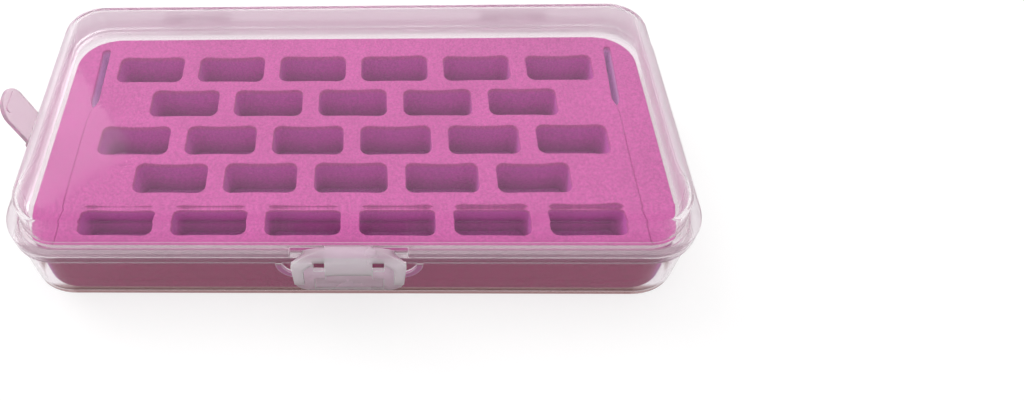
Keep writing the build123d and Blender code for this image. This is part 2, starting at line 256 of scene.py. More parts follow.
def clear_polypropylene(
    name, colours, front_mm, transmission, roughness, frost, tint, soak, edge_highlight_and_haze_level
):
    """Clarified polypropylene, injection moulded in a mould that is polished for the top and the front
    and blasted for the rims and ends. The three colours are those of the faces, the front rim and the
    foot; on the case the rim's is painted shade and the foot's a painted reflection. frost is the
    roughness of the blasted parts, tint the share of lamp light that a wall lets in, soak the share
    that wanders inside the plastic, and edge_highlight_and_haze_level how white its edges are painted
    as a highlight and how hazy they become.
    To the eye: clear with a faint milky haze, soft pale rims where the wall is thick, slow waves
    across the flat faces, and fine flow streaks and rubbed spots."""
    colour, rim_colour, foot_painted_reflection = colours
    material = empty_material(name)
    tree = material.node_tree
    place = node(tree, "ShaderNodeTexCoord").outputs["Object"]
    zones = case_zones(tree, place, front_mm)
    rubbed = node(
        tree,
        "ShaderNodeTexNoise",
        links={"Vector": place},
        Scale=per_size(14.0),
        Detail=4.0,
        Roughness=0.65,
    )
    gloss = node(
        tree,
        "ShaderNodeMapRange",
        links={"Value": rubbed.outputs["Fac"]},
        From_Min=0.3,
        From_Max=0.75,
        To_Min=roughness * 0.6,
        To_Max=roughness * 1.5,
    )
    frosted = node(
        tree,
        "ShaderNodeMix",
        links={"Factor": zones["blasted"], 2: gloss.outputs["Result"]},
        values={3: frost},
    )
    # Painted highlight: rounded edges along the front, which face the camera, are painted white for the
    # light that runs inside the plastic and scatters at them, and they are hazier too
    rounded = node(tree, "ShaderNodeBevel", {"samples": 6}, Radius=0.4 * MM)
    flat = node(tree, "ShaderNodeNewGeometry")
    alike = node(
        tree,
        "ShaderNodeVectorMath",
        {"operation": "DOT_PRODUCT"},
        {0: rounded.outputs["Normal"], 1: flat.outputs["True Normal"]},
    )
    edge = node(
        tree,
        "ShaderNodeMapRange",
        links={"Value": alike.outputs["Value"]},
        From_Min=0.99,
        From_Max=0.85,
        To_Max=edge_highlight_and_haze_level,
    )
    edge_highlight_and_haze = joined(tree, "MULTIPLY", [edge.outputs["Result"], zones["facing"]])
    # Painted shade and light: on the case the rim is painted greyer and the foot a dark brown, shade and
    # a painted reflection where they are seen edge on; the ribs are painted pink for the light that
    # comes off the foam behind them, and the front edges are painted white as a highlight
    shade = laid_over(
        tree,
        colour,
        [
            (zones["rim"], rim_colour),
            (zones["foot"], foot_painted_reflection),
            (zones["ribs"], linear(RIB_PAINTED_FOAM_LIGHT)),
            (edge_highlight_and_haze, linear("#FFFFFF")),
        ],
    )
    # Blasted parts and bright edges are hazier, as are ribs and walls that are seen at a low angle
    milky = node(
        tree,
        "ShaderNodeMapRange",
        links={"Value": zones["blasted"]},
        To_Min=transmission,
        To_Max=transmission * 0.7,
    )
    cloudy = node(
        tree,
        "ShaderNodeMix",
        links={"Factor": edge_highlight_and_haze, 2: milky.outputs["Result"]},
        values={3: transmission * 0.4},
    )
    slant = node(tree, "ShaderNodeLayerWeight", Blend=0.5)
    thick = node(
        tree,
        "ShaderNodeMapRange",
        links={"Value": slant.outputs["Facing"]},
        From_Min=0.72,
        From_Max=1.0,
        To_Min=1.0,
        To_Max=0.3,
    )
    dim = node(
        tree, "ShaderNodeMapRange", links={"Value": zones["ribs"]}, To_Min=1.0, To_Max=0.35
    )
    clearness = joined(
        tree, "MULTIPLY", [cloudy.outputs[0], thick.outputs["Result"], dim.outputs["Result"]]
    )
    # A lower index than the real 1.49 keeps thin walls from mirroring the foam
    shader = node(
        tree,
        "ShaderNodeBsdfPrincipled",
        links={
            "Base Color": shade,
            "Roughness": frosted.outputs[0],
            "Normal": moulded_relief(tree, place),
            "Transmission Weight": clearness,
        },
        IOR=1.22,
        Specular_Tint=(0.6, 0.6, 0.6, 1.0),
        Subsurface_Weight=soak,
        Subsurface_Radius=(1.0, 0.9, 1.0),
        Subsurface_Scale=9.0 * MM,
    )
    lit = let_light_through(tree, shader, tint)
    node(tree, "ShaderNodeOutputMaterial", links={"Surface": lit.outputs[0]})
    return material


def cut_eva_foam(name, colours, grain_mm):
    """Closed-cell EVA foam, skived from a block and die cut. The four colours are those of its top,
    its slots' walls, its slits and its outer sides; the last three are painted light and shade.
    To the eye: matt and a little chalky, with fine pores and faint parallel marks of the skiving
    blade. The slots' walls are painted a deeper, brighter magenta for the light that soaks through
    the thin webs, and the outer sides are painted darker as shade."""
    colour, slot_painted_glow, slit, side = colours
    material = empty_material(name)
    tree = material.node_tree
    place = node(tree, "ShaderNodeTexCoord").outputs["Object"]
    # The pores are drawn a little coarser than the real cells, so that they show. The blade's marks
    # run along the block, 1.2 mm apart
    stretched = node(tree, "ShaderNodeMapping", links={"Vector": place}, Scale=(0.05, 1.0, 0.3))
    pores, clouds, blade = (
        node(
            tree,
            "ShaderNodeTexNoise",
            links={"Vector": where},
            Scale=per_size(size_mm),
            Detail=detail,
            Roughness=fineness,
        ).outputs["Fac"]
        for where, size_mm, detail, fineness in (
            (place, grain_mm, 3.0, 0.6),
            (place, 22.0, 3.0, 0.55),
            (stretched.outputs["Vector"], 1.2, 2.0, 0.5),
        )
    )
    marks = {
        mark: node(tree, "ShaderNodeAttribute", {"attribute_name": mark}).outputs["Fac"]
        for mark in ("slot_wall", "outer_side_shade", "slit_wall")
    }
    # Tone varies at random in slow clouds. Painted light brightens the slots' walls and the slits, and
    # painted shade darkens the block's outer sides
    deep = [c * 0.86 for c in colour]
    pale = [min(1.0, c * 1.07 + 0.01) for c in colour]
    shade = laid_over(
        tree,
        deep,
        [
            (clouds, pale),
            (marks["slot_wall"], slot_painted_glow),
            (marks["outer_side_shade"], side),
            (marks["slit_wall"], slit),
        ],
    )
    speck = node(
        tree,
        "ShaderNodeMapRange",
        links={"Value": pores},
        From_Min=0.35,
        From_Max=0.65,
        To_Min=0.83,
        To_Max=1.13,
    )
    # Painted shade: the slots' walls darken towards their floors, and the sheet that is their floor is
    # darker still
    painted_floor_shade = node(
        tree,
        "ShaderNodeMapRange",
        links={"Value": marks["slot_wall"]},
        From_Min=1.0,
        From_Max=2.0,
        To_Min=1.0,
        To_Max=0.62,
    )
    pores_and_painted_shade = joined(tree, "MULTIPLY", [speck.outputs["Result"], painted_floor_shade.outputs["Result"]])
    speckled = node(
        tree, "ShaderNodeVectorMath", {"operation": "SCALE"}, {0: shade, "Scale": pores_and_painted_shade}
    )
    heights = node(tree, "ShaderNodeMath", {"operation": "ADD"}, {0: pores, 1: blade})
    bump = node(
        tree,
        "ShaderNodeBump",
        links={"Height": heights.outputs[0]},
        Strength=0.35,
        Distance=0.12 * MM,
    )
    shader = node(
        tree,
        "ShaderNodeBsdfPrincipled",
        links={"Base Color": speckled.outputs[0], "Normal": bump.outputs["Normal"]},
        Roughness=0.85,
        IOR=1.45,
        Sheen_Weight=0.12,
        Sheen_Roughness=0.5,
    )
    node(tree, "ShaderNodeOutputMaterial", links={"Surface": shader.outputs[0]})
    return material


def give_finish(obj, material):
    """Puts the material in each of the object's slots."""
    if not obj.material_slots:
        obj.data.materials.append(material)
    for place in obj.material_slots:
        place.material = material


def loop_of(xs, ys):
    """The points round a rectangle, from its front left corner to the right and round, for lattices
    xs and ys along its sides: front, right, back and left side one after the other."""
    front = np.stack([xs[:-1], np.full(len(xs) - 1, ys[0])], -1)
    right = np.stack([np.full(len(ys) - 1, xs[-1]), ys[:-1]], -1)
    back = np.stack([xs[:0:-1], np.full(len(xs) - 1, ys[-1])], -1)
    left = np.stack([np.full(len(ys) - 1, xs[0]), ys[:0:-1]], -1)
    return np.concatenate([front, right, back, left])


def lattice(stops, steps):
    """Places along a side: each stretch between two stops is cut into its number of equal steps."""
    ends = np.concatenate([[0], np.cumsum(steps)])
    return np.interp(np.arange(ends[-1] + 1), ends, stops)


def round_off(points, half, radius):
    """Points pushed out to a rounded rectangle. Each goes straight out from the nearest point of the
    inner rectangle that the corners' centres span. Returns the outline and the outward directions."""
    core = np.clip(points, -(np.array(half) - radius), np.array(half) - radius)
    away = points - core
    away = away / np.maximum(np.linalg.norm(away, axis=-1, keepdims=True), 1e-9)
    return core + away * radius, away


def rounded_outline(half, radius, steps):
    """The outline of a rectangle with rounded corners, and its outward directions. steps has a
    corner's and the straight's lattice steps, for the sides along X and then for those along Y."""
    xs, ys = (
        lattice([-h, radius - h, h - radius, h], [bend, straight, bend])
        for h, (bend, straight) in zip(half, steps)
    )
    return round_off(loop_of(xs, ys), half, radius)


def mesh_of(name, patches):
    """One closed mesh from patches of points in millimetres. A patch is (rows, columns, 3), with its
    last column joined to its first if closed. Neighbours share their edge points, which are merged."""
    points, faces, start = [], [], 0
    for patch, closed in patches:
        rows, columns = patch.shape[:2]
        index = start + np.arange(rows * columns).reshape(rows, columns)
        beside = np.roll(index, -1, axis=1)
        if not closed:
            index, beside = index[:, :-1], beside[:, :-1]
        faces.append(np.stack([index[:-1], beside[:-1], beside[1:], index[1:]], -1).reshape(-1, 4))
        points.append(patch.reshape(-1, 3))
        start += rows * columns
    points = np.concatenate(points) * MM
    faces = np.concatenate(faces)
    mesh = bpy.data.meshes.new(name)
    mesh.vertices.add(len(points))
    mesh.vertices.foreach_set("co", points.astype(np.float32).ravel())
    mesh.loops.add(faces.size)
    mesh.loops.foreach_set("vertex_index", faces.astype(np.int32).ravel())
    mesh.polygons.add(len(faces))
    mesh.polygons.foreach_set("loop_start", np.arange(0, faces.size, 4, dtype=np.int32))
    mesh.update(calc_edges=True)
    form = bmesh.new()
    form.from_mesh(mesh)
    bmesh.ops.remove_doubles(form, verts=form.verts, dist=0.002 * MM)
    bmesh.ops.dissolve_degenerate(form, edges=form.edges, dist=0.0005 * MM)
    bmesh.ops.recalc_face_normals(form, faces=form.faces)
    form.to_mesh(mesh)
    form.free()
    mesh.validate()
    mesh.polygons.foreach_set("use_smooth", np.ones(len(mesh.polygons), bool))
    mesh.update()
    return mesh


def add_piece(name, mesh, body, material):
    """Adds a mesh as a piece at the origin that rides on a body and takes its finish from a slot."""
    piece = bpy.data.objects.new(name, mesh)
    bpy.context.scene.collection.objects.link(piece)
    give_finish(piece, material)
    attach(piece, body)
    return piece


class CaseSettings(bpy.types.PropertyGroup):
    """Colours and finish of the case, its latch, tab and pins."""

    case_colour: bpy.props.FloatVectorProperty(
        name="Case colour",
        description="Tint of the clear tray and lid",
        default=linear("#F9F4F7"),
        min=0.0,
        max=1.0,
        subtype="COLOR",
    )
    # Painted shade: the front rim is painted greyer than the faces, as it looks seen edge on
    rim_colour: bpy.props.FloatVectorProperty(
        name="Rim colour",
        description="Tint of the thick rim along the front",
        default=linear("#D6C6CE"),
        min=0.0,
        max=1.0,
        subtype="COLOR",
    )
    # Painted reflection: the foot's dark brown stands in for dark surroundings mirrored in the thick
    # foot and seen through it
    foot_painted_reflection: bpy.props.FloatVectorProperty(
        name="Foot colour",
        description="Tint of the tray's rounded foot, which is seen edge on",
        default=linear("#8F6769"),
        min=0.0,
        max=1.0,
        subtype="COLOR",
    )
    case_clearness: bpy.props.FloatProperty(
        name="Case clearness",
        description="Share of light that goes through the plastic and isn't scattered by its haze",
        default=0.97,
        min=0.0,
        max=1.0,
        subtype="FACTOR",
    )
    case_roughness: bpy.props.FloatProperty(
        name="Case roughness",
        description="Roughness of the moulded faces",
        default=0.06,
        min=0.0,
        max=1.0,
        subtype="FACTOR",
    )
    rim_frost: bpy.props.FloatProperty(
        name="Rim frost",
        description="Roughness of the blasted rims and ends",
        default=0.5,
        min=0.0,
        max=1.0,
        subtype="FACTOR",
    )
    latch_colour: bpy.props.FloatVectorProperty(
        name="Latch colour",
        description="Colour of the milky plastic of the latch",
        default=linear("#F7CBE4"),
        min=0.0,
        max=1.0,
        subtype="COLOR",
    )
    band_colour: bpy.props.FloatVectorProperty(
        name="Latch band colour",
        description="Colour of the raised bands of the latch, and of the hanging tab",
        default=linear("#FFE8F4"),
        min=0.0,
        max=1.0,
        subtype="COLOR",
    )
    latch_clearness: bpy.props.FloatProperty(
        name="Latch clearness",
        description="Share of light that goes through the latch's plastic",
        default=0.25,
        min=0.0,
        max=1.0,
        subtype="FACTOR",
    )
    pin_colour: bpy.props.FloatVectorProperty(
        name="Pin colour",
        description="Colour of the hinge pins' plastic",
        default=linear("#E9E6E3"),
        min=0.0,
        max=1.0,
        subtype="COLOR",
    )


class FoamSettings(bpy.types.PropertyGroup):
    """Sizes and colour of the foam insert. Lengths are in metres, shown in the scene's units."""

    colour: bpy.props.FloatVectorProperty(
        name="Foam colour",
        description="Colour of the foam block and of the sheet under it",
        default=linear("#DD60B3"),
        min=0.0,
        max=1.0,
        subtype="COLOR",
    )
    # Painted light: the slots' walls are painted brighter and deeper for the light that soaks through
    # the foam
    slot_painted_glow: bpy.props.FloatVectorProperty(
        name="Slot colour",
        description="Deeper colour of the slots' walls, where light soaks through the foam",
        default=linear("#E65CD2"),
        min=0.0,
        max=1.0,
        subtype="COLOR",
    )
    # Painted light: the slits are painted pale for the light that comes up through them from below
    slit: bpy.props.FloatVectorProperty(
        name="Slit colour",
        description="Cooler colour inside the slits at the ends, which let light up from below",
        default=linear("#FFCCFF"),
        min=0.0,
        max=1.0,
        subtype="COLOR",
    )
    # Painted shade: the block's outer sides are painted darker for the shade under the lid's rim and
    # behind the tray's walls
    side: bpy.props.FloatVectorProperty(
        name="Side colour",
        description="Colour of the block's outer sides",
        default=linear("#B0186A"),
        min=0.0,
        max=1.0,
        subtype="COLOR",
    )
    grain: bpy.props.FloatProperty(
        name="Grain",
        description="Size of the foam's pores as drawn",
        default=0.6 * MM,
        min=0.05 * MM,
        max=3 * MM,
        subtype="DISTANCE",
        unit="LENGTH",
    )
    slot_length: bpy.props.FloatProperty(
        name="Slot length",
        description="Length of a bobbin's slot, along the case",
        default=20.2 * MM,
        min=10 * MM,
        max=22 * MM,
        subtype="DISTANCE",
        unit="LENGTH",
    )
    slot_width: bpy.props.FloatProperty(
        name="Slot width",
        description="Width of a bobbin's slot, from front to back",
        default=11.15 * MM,
        min=6 * MM,
        max=12.5 * MM,
        subtype="DISTANCE",
        unit="LENGTH",
    )
    slot_corner: bpy.props.FloatProperty(
        name="Slot corner",
        description="Radius of a slot's corners",
        default=2.75 * MM,
        min=0.5 * MM,
        max=5 * MM,
        subtype="DISTANCE",
        unit="LENGTH",
    )
    slot_bow: bpy.props.FloatProperty(
        name="Slot bow",
        description="How far the middle of a slot's back edge springs in after cutting",
        default=0.72 * MM,
        min=0.0,
        max=1.5 * MM,
        subtype="DISTANCE",
        unit="LENGTH",
    )
    lip: bpy.props.FloatProperty(
        name="Lip radius",
        description="Rounding of the foam's cut edges",
        default=0.3 * MM,
        min=0.05 * MM,
        max=1 * MM,
        subtype="DISTANCE",
        unit="LENGTH",
    )
    cut_depth: bpy.props.FloatProperty(
        name="Cut depth",
        description="Depth to which the cut in front of each slit stands open",
        default=1.6 * MM,
        min=0.0,
        max=5 * MM,
        subtype="DISTANCE",
        unit="LENGTH",
    )


class StageSettings(bpy.types.PropertyGroup):
    """Floor, lamps and camera of the photograph."""

    floor_colour: bpy.props.FloatVectorProperty(
        name="Floor colour",
        description="Colour of the pale floor",
        default=linear("#9E9D9D"),
        min=0.0,
        max=1.0,
        subtype="COLOR",
    )
    surround: bpy.props.FloatProperty(
        name="Surround",
        description="Share of the light that comes from the white room",
        default=0.62,
        min=0.0,
        max=2.0,
    )
    key_power: bpy.props.FloatProperty(
        name="Key lamp",
        description="Power of the large soft lamp above the case",
        default=1.9,
        min=0.0,
        max=100.0,
        subtype="POWER",
    )


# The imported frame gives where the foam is, and the record states each slot as an opening. All that
# follows is in millimetres, as is the radius of the foam's corners
FOAM_LOW, FOAM_HIGH = (np.array(corner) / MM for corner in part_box("foam_block"))
SHEET_LOW, SHEET_HIGH = (np.array(corner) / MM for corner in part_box("foam_floor"))
SLOT_CENTRES = np.array(
    [
        np.mean(opening["box_m"], axis=0)[:2] / MM
        for opening in frame["record"]["physics"]["openings"]
        if opening["name"].startswith("bobbin_slot")
    ]
)
FOAM_MIDDLE = (FOAM_LOW + FOAM_HIGH)[:2] / 2
FOAM_HALF = (FOAM_HIGH - FOAM_LOW)[:2] / 2
FOAM_CORNER = 11.8
ROW_YS = np.unique(SLOT_CENTRES[:, 1].round(3))

# How far the front and back edges of each row's slots lie behind their even places, and how much
# further back the front row's back edges do for each millimetre to the right
ROW_SHIFTS = ((0.9, -0.8), (0.1, -0.2), (-0.5, -0.4), (0.0, -0.1), (0.0, 0.0))
FRONT_LEAN = 0.012

# The slit at each end, and the cut line that runs on from it to the front
SLIT_INSET = 8.2
SLIT_HALF = 1.15
SLIT_Y = (10.9, 35.9)
SLIT_POINT = 3.0
SLIT_LEAN = 0.035
CUT_X = (-0.45, -0.16, 0.0, 0.16, 0.45, 2.2)

# The block's plain edge at the front and back, and its strip at each end, which no slot reaches
EDGE_MARGIN = 2.6
END_STRIP = 10.5

# Lattice steps: half a cell along the case, a row across it, a slot's corner
ALONG, ACROSS, BEND = 9, 14, 4


def foam_ring(outer, edge, away, lip, sign=1, bulge=0.12, cut=None):
    """Loops round a hole with sign 1, or round the block with sign -1: level from the cell's edge to
    the outline, a quarter circle over the lip, down the wall with half a sine wave of bulge, and
    level again below. Each point's fourth value, cut, is its share of the cut lines' depth."""
    low, high = FOAM_LOW[2], FOAM_HIGH[2]
    cut = np.zeros(len(edge)) if cut is None else cut
    turn = np.linspace(0.0, np.pi / 2, 6)
    wall = np.linspace(high - lip, low + 0.02, 7)[1:]
    inner = edge + sign * away * (lip + 0.05)
    levels = [(outer, high), ((outer + inner) / 2, high), (inner, high)]
    levels += [
        (edge + sign * away * lip * (1 - np.sin(t)), high - lip * (1 - np.cos(t))) for t in turn
    ]
    swell = bulge * np.sin(np.pi * (high - wall) / (high - low))
    levels += [(edge + sign * away * s, z) for s, z in zip(swell, wall)]
    levels += [(edge, low), (outer, low)]
    return np.stack([np.column_stack([xy, np.full(len(xy), z), cut]) for xy, z in levels])


def slot_outline(centre_x, row, settings, chance):
    """A slot's rounded outline, sprung in and tilted, and its outward directions. An edge springs in
    by a parabola, most at its middle, and tilts in proportion to the distance from the middle."""
    half = np.array([settings.slot_length, settings.slot_width]) / MM / 2
    steps = ((BEND, 2 * ALONG - 2 * BEND), (BEND, ACROSS - 2 * BEND))
    edge, away = rounded_outline(half, settings.slot_corner / MM, steps)
    # The rows weren't cut quite alike: the front one is narrower, least so on the right
    front_shift, back_shift = ROW_SHIFTS[row]
    if row == 0:
        back_shift += max(centre_x, 0.0) * FRONT_LEAN
    edge[:, 1] += np.interp(edge[:, 1], [-half[1], half[1]], [front_shift, back_shift])
    # Foam springs in where it was cut: most at the middle of the back edge, a little at the ends
    u, v = edge[:, 0] / half[0], edge[:, 1] / half[1]
    bow = settings.slot_bow / MM
    back, front, ends = bow * np.array([1.0, 0.3, 0.25]) * chance.uniform(0.6, 1.3, 3)
    tilt = chance.uniform(-0.012, 0.012, 2) + np.array([0.006, 0.0]) * np.sign(centre_x)
    inward = np.maximum(v, 0) * back + np.minimum(v, 0) * front
    tilted = np.where(v > 0, tilt[0], tilt[1]) * edge[:, 0] * np.abs(v)
    moved = np.column_stack([-u * ends * (1 - v**2), tilted - inward * (1 - u**2)])
    return edge + moved, away


def slit_outline():
    """A slit's outline and outward directions: rounded at the back, drawn to a point at the front
    where the cut line starts, and leaning out a little towards the back."""
    half = np.array([SLIT_HALF, (SLIT_Y[1] - SLIT_Y[0]) / 2])
    edge, away = rounded_outline(half, SLIT_HALF * 0.95, ((2, 2), (3, 2 * ACROSS - 6)))
    edge[:, 0] *= np.clip((edge[:, 1] + half[1]) / SLIT_POINT, 0.05, 1.0) ** 0.6
    edge[:, 0] += SLIT_LEAN * edge[:, 1]
    return edge, away


def sunk(patch, slit_x, cut_depth):
    """A patch with its top sunk by a sum of three slow sine waves, and by cut_depth along the cut
    lines, which sway from side to side. The bottom stays level."""
    x, y, z, cut = np.moveaxis(patch, -1, 0)
    share = (z - FOAM_LOW[2]) / (FOAM_HIGH - FOAM_LOW)[2]
    waves = 0.5 + 0.22 * np.sin(x / 19 + 0.6) + 0.16 * np.sin(y / 9 + x / 31)
    waves += 0.08 * np.sin(x / 7.3 - y / 12)
    near_cut = np.clip(1 - np.abs(np.abs(x) - slit_x) / 1.7, 0, 1)
    sway = 0.45 * np.sin((y - 17) / 17) * near_cut
    return np.stack([x + sway, y, z - share * (0.16 * waves + cut * cut_depth)], -1)


def foam_block_patches(settings):
    """The slotted foam block, in millimetres. The top is cut into cells, one round each slot and
    slit, and in a cell the surface is foam_ring's profile carried round the hole. A ring with the
    block's own outline goes round all the cells in the same way."""
    lip = settings.lip / MM
    slit_x = FOAM_HALF[0] - SLIT_INSET
    chance = np.random.default_rng(28)
    pitch_x = np.diff(np.unique(SLOT_CENTRES[:, 0].round(3))).min() * 2
    last_slot = np.abs(SLOT_CENTRES[:, 0]).max() + settings.slot_length / MM / 2
    cells_x = (last_slot + slit_x - SLIT_HALF) / 2
    column_x = np.array([cells_x, *(slit_x + np.array(CUT_X))])
    cut_column = 1 + CUT_X.index(0.0)
    margins = FOAM_MIDDLE[1] + np.array([-1, 1]) * (FOAM_HALF[1] - EDGE_MARGIN)
    row_stops = np.array([margins[0], *((ROW_YS[1:] + ROW_YS[:-1]) / 2), margins[1]])

    patches = []
    for centre in SLOT_CENTRES:
        row = int(np.abs(ROW_YS - centre[1]).argmin())
        left, right = np.clip(centre[0] + np.array([-0.5, 0.5]) * pitch_x, -cells_x, cells_x)
        xs = lattice([left, centre[0], right], [ALONG, ALONG])
        outer = loop_of(xs, lattice(row_stops[row : row + 2], [ACROSS]))
        edge, away = slot_outline(centre[0], row, settings, chance)
        patches.append((foam_ring(outer, edge + centre, away, lip), True))

    # Plain pieces of the top and bottom: where a row is shorter, and beside the cut lines
    def level(xs, ys, cut):
        across_grid, along_grid = np.meshgrid(ys, xs, indexing="ij")
        cuts = np.broadcast_to(cut, across_grid.shape)
        for height in (FOAM_HIGH[2], FOAM_LOW[2]):
            grid = np.stack([along_grid, across_grid, np.full_like(along_grid, height), cuts], -1)
            patches.append((grid, False))

    for row, row_y in enumerate(ROW_YS):
        in_row = SLOT_CENTRES[np.abs(SLOT_CENTRES[:, 1] - row_y) < 0.1, 0]
        free = np.abs(in_row).max() + pitch_x / 2
        ys = lattice(row_stops[row : row + 2], [ACROSS])
        for side in (-1, 1):
            if free < cells_x:
                level(side * lattice([free, cells_x], [ALONG]), ys, 0.0)
            if row < len(ROW_YS) - 2:
                level(side * column_x, ys, np.arange(len(column_x)) == cut_column)

    # The slits' cells reach over the two back rows, and the cut line starts at their front edge
    edge, away = slit_outline()
    outer = loop_of(column_x, lattice(row_stops[-3:], [ACROSS, ACROSS]))
    cut = np.zeros(len(outer))
    cut[cut_column] = 1.0
    slit_centre = np.array([slit_x, np.mean(SLIT_Y)])
    slit_ring = foam_ring(outer, edge + slit_centre, away, lip, bulge=0.1, cut=cut)
    patches.append((slit_ring, True))
    patches.append((slit_ring * np.array([-1.0, 1.0, 1.0, 1.0]), True))

    # The block's own edge
    inside = np.unique(np.clip(SLOT_CENTRES[:, 0].round(3), -cells_x, cells_x))
    cells = [-cells_x, *inside, cells_x]
    cells_lattice = lattice(cells, [ALONG] * (len(cells) - 1))
    xs = np.concatenate([-column_x[::-1], cells_lattice[1:-1], column_x])
    outer = loop_of(xs, lattice(row_stops, [ACROSS] * len(ROW_YS)))
    edge, away = round_off(outer - FOAM_MIDDLE, FOAM_HALF, FOAM_CORNER)
    cut = np.zeros(len(outer))
    last = len(column_x) - 1
    cut[[last - cut_column, len(xs) - 1 - last + cut_column]] = 1.0
    patches.append((foam_ring(outer, edge + FOAM_MIDDLE, away, lip, sign=-1, cut=cut), True))
    return [(sunk(patch, slit_x, settings.cut_depth / MM), closed) for patch, closed in patches]


def mark_slot_walls(mesh):
    """Writes slot_wall on each point: 0 on the block's top and outer edge, rising to 1 just inside a
    slot and to 2 at its floor. slit_wall is 1 where that is one of the slits beyond the slots, and
    outer_side_shade is 1 on the block's outer sides. They place painted light on the slots' walls and
    in the slits, and painted shade towards the slots' floors and on the outer sides."""
    places = np.empty(len(mesh.vertices) * 3, np.float32)
    mesh.vertices.foreach_get("co", places)
    x, y, z = places.reshape(-1, 3).T / MM
    middle = (FOAM_LOW + FOAM_HIGH) / 2
    half = (FOAM_HIGH - FOAM_LOW) / 2
    from_edge = np.minimum(half[0] - np.abs(x - middle[0]), half[1] - np.abs(y - middle[1]))
    inside = np.clip((from_edge - 1.5) / 1.5, 0, 1)
    near = np.clip((FOAM_HIGH[2] - 0.5 - z) / 1.5, 0, 1)
    deep = np.clip((middle[2] - z) / (middle[2] - SHEET_HIGH[2]), 0, 1)
    beyond = (np.abs(x - middle[0]) > half[0] - END_STRIP) & (y > 0)
    deep *= ~beyond
    shares = {
        "slot_wall": (near + deep) * inside,
        "slit_wall": near * inside * beyond,
        "outer_side_shade": np.clip((FOAM_HIGH[2] - 0.4 - z) / 0.6, 0, 1) * (1 - inside),
    }
    for name, share in shares.items():
        mark = mesh.attributes.new(name, "FLOAT", "POINT")
        mark.data.foreach_set("value", share.astype(np.float32))


def foam_sheet_patches():
    """The sheet under the block: its rounded outline is drawn in to the middle on the top and bottom,
    and carried down the edge between them, with a quarter circle at both rims."""
    middle = (SHEET_LOW + SHEET_HIGH)[:2] / 2
    half = (SHEET_HIGH - SHEET_LOW)[:2] / 2
    low, high = SHEET_LOW[2], SHEET_HIGH[2]
    rim = 0.3
    edge, away = rounded_outline(half, FOAM_CORNER, ((8, 40), (8, 20)))
    turn = np.linspace(0.0, np.pi / 2, 5)
    top = [(edge * share, high) for share in np.linspace(0.0, 1.0, 9)[:-1]]
    top += [(edge - away * rim * (1 - np.sin(t)), high - rim * (1 - np.cos(t))) for t in turn]
    under = [(xy, high + low - z) for xy, z in reversed(top)]
    loops = [np.column_stack([xy + middle, np.full(len(xy), z)]) for xy, z in top + under]
    return [(np.stack(loops), True)]


class BOBBINBOX_OT_case(bpy.types.Operator):
    """Gives the tray and the lid their clear moulded plastic"""

    bl_idname = "bobbinbox.case"
    bl_label = "Finish case"

    def execute(self, context):
        settings = context.scene.bobbin_case
        plastic = clear_polypropylene(
            "clear_polypropylene",
            (settings.case_colour, settings.rim_colour, settings.foot_painted_reflection),
            CASE_FRONT,
            settings.case_clearness,
            settings.case_roughness,
            settings.rim_frost,
            tint=0.95,
            soak=0.0,
            edge_highlight_and_haze_level=0.8,
        )
        for name in ("base_tray", "lid"):
            give_finish(frame["nodes"][name], plastic)
        return {"FINISHED"}


class BOBBINBOX_OT_latch(bpy.types.Operator):
    """Gives the latch and the hanging tab their milky moulded plastic"""

    bl_idname = "bobbinbox.latch"
    bl_label = "Finish latch and tab"

    def execute(self, context):
        settings = context.scene.bobbin_case
        colours = settings.latch_colour, settings.band_colour, settings.band_colour
        latch = clear_polypropylene(
            "milky_polypropylene",
            colours,
            LATCH_FRONT,
            settings.latch_clearness,
            roughness=0.22,
            frost=0.25,
            tint=0.88,
            soak=1.0,
            edge_highlight_and_haze_level=1.0,
        )
        tab = clear_polypropylene(
            "tab_polypropylene",
            [settings.band_colour] * 3,
            CASE_FRONT,
            settings.case_clearness - 0.1,
            roughness=0.15,
            frost=0.2,
            tint=0.92,
            soak=0.5,
            edge_highlight_and_haze_level=0.6,
        )
        give_finish(frame["nodes"]["front_latch"], latch)
        give_finish(frame["nodes"]["hang_tab"], tab)
        return {"FINISHED"}


class BOBBINBOX_OT_pins(bpy.types.Operator):
    """Gives the two hinge pins their opaque plastic"""

    bl_idname = "bobbinbox.pins"
    bl_label = "Finish hinge pins"

    def execute(self, context):
        colour = context.scene.bobbin_case.pin_colour
        pin = clear_polypropylene(
            "natural_acetal",
            [colour] * 3,
            CASE_FRONT,
            transmission=0.1,
            roughness=0.3,
            frost=0.3,
            tint=0.6,
            soak=0.0,
            edge_highlight_and_haze_level=0.2,
        )
        for name in ("hinge_pin_left", "hinge_pin_right"):
            give_finish(frame["nodes"][name], pin)
        return {"FINISHED"}


class BOBBINBOX_OT_foam(bpy.types.Operator):
    """Makes the slotted foam block and the foam sheet under it"""

    bl_idname = "bobbinbox.foam"
    bl_label = "Make foam insert"

    def execute(self, context):
        settings = context.scene.bobbin_foam
        colours = settings.colour, settings.slot_painted_glow, settings.slit, settings.side
        foam = cut_eva_foam("cut_eva_foam", colours, settings.grain / MM)
        block = mesh_of("foam_insert", foam_block_patches(settings))
        mark_slot_walls(block)
        piece = add_piece("foam_insert", block, "base", foam)
        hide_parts("foam_block")
        sheet = mesh_of("foam_sheet", foam_sheet_patches())
        mark_slot_walls(sheet)
        piece = add_piece("foam_sheet", sheet, "base", foam)
        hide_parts("foam_floor")
        return {"FINISHED"}


def white_where_seen(tree, seen, otherwise):
    """A strength that is one value where the camera, a reflection or clear plastic looks, and another
    for light that falls on the object."""
    path = node(tree, "ShaderNodeLightPath")
    rays = [path.outputs[f"Is {ray} Ray"] for ray in ("Camera", "Glossy", "Transmission")]
    looking = joined(tree, "MAXIMUM", rays)
    strength = node(
        tree, "ShaderNodeMapRange", links={"Value": looking}, To_Min=otherwise, To_Max=seen
    )
    return strength.outputs["Result"]


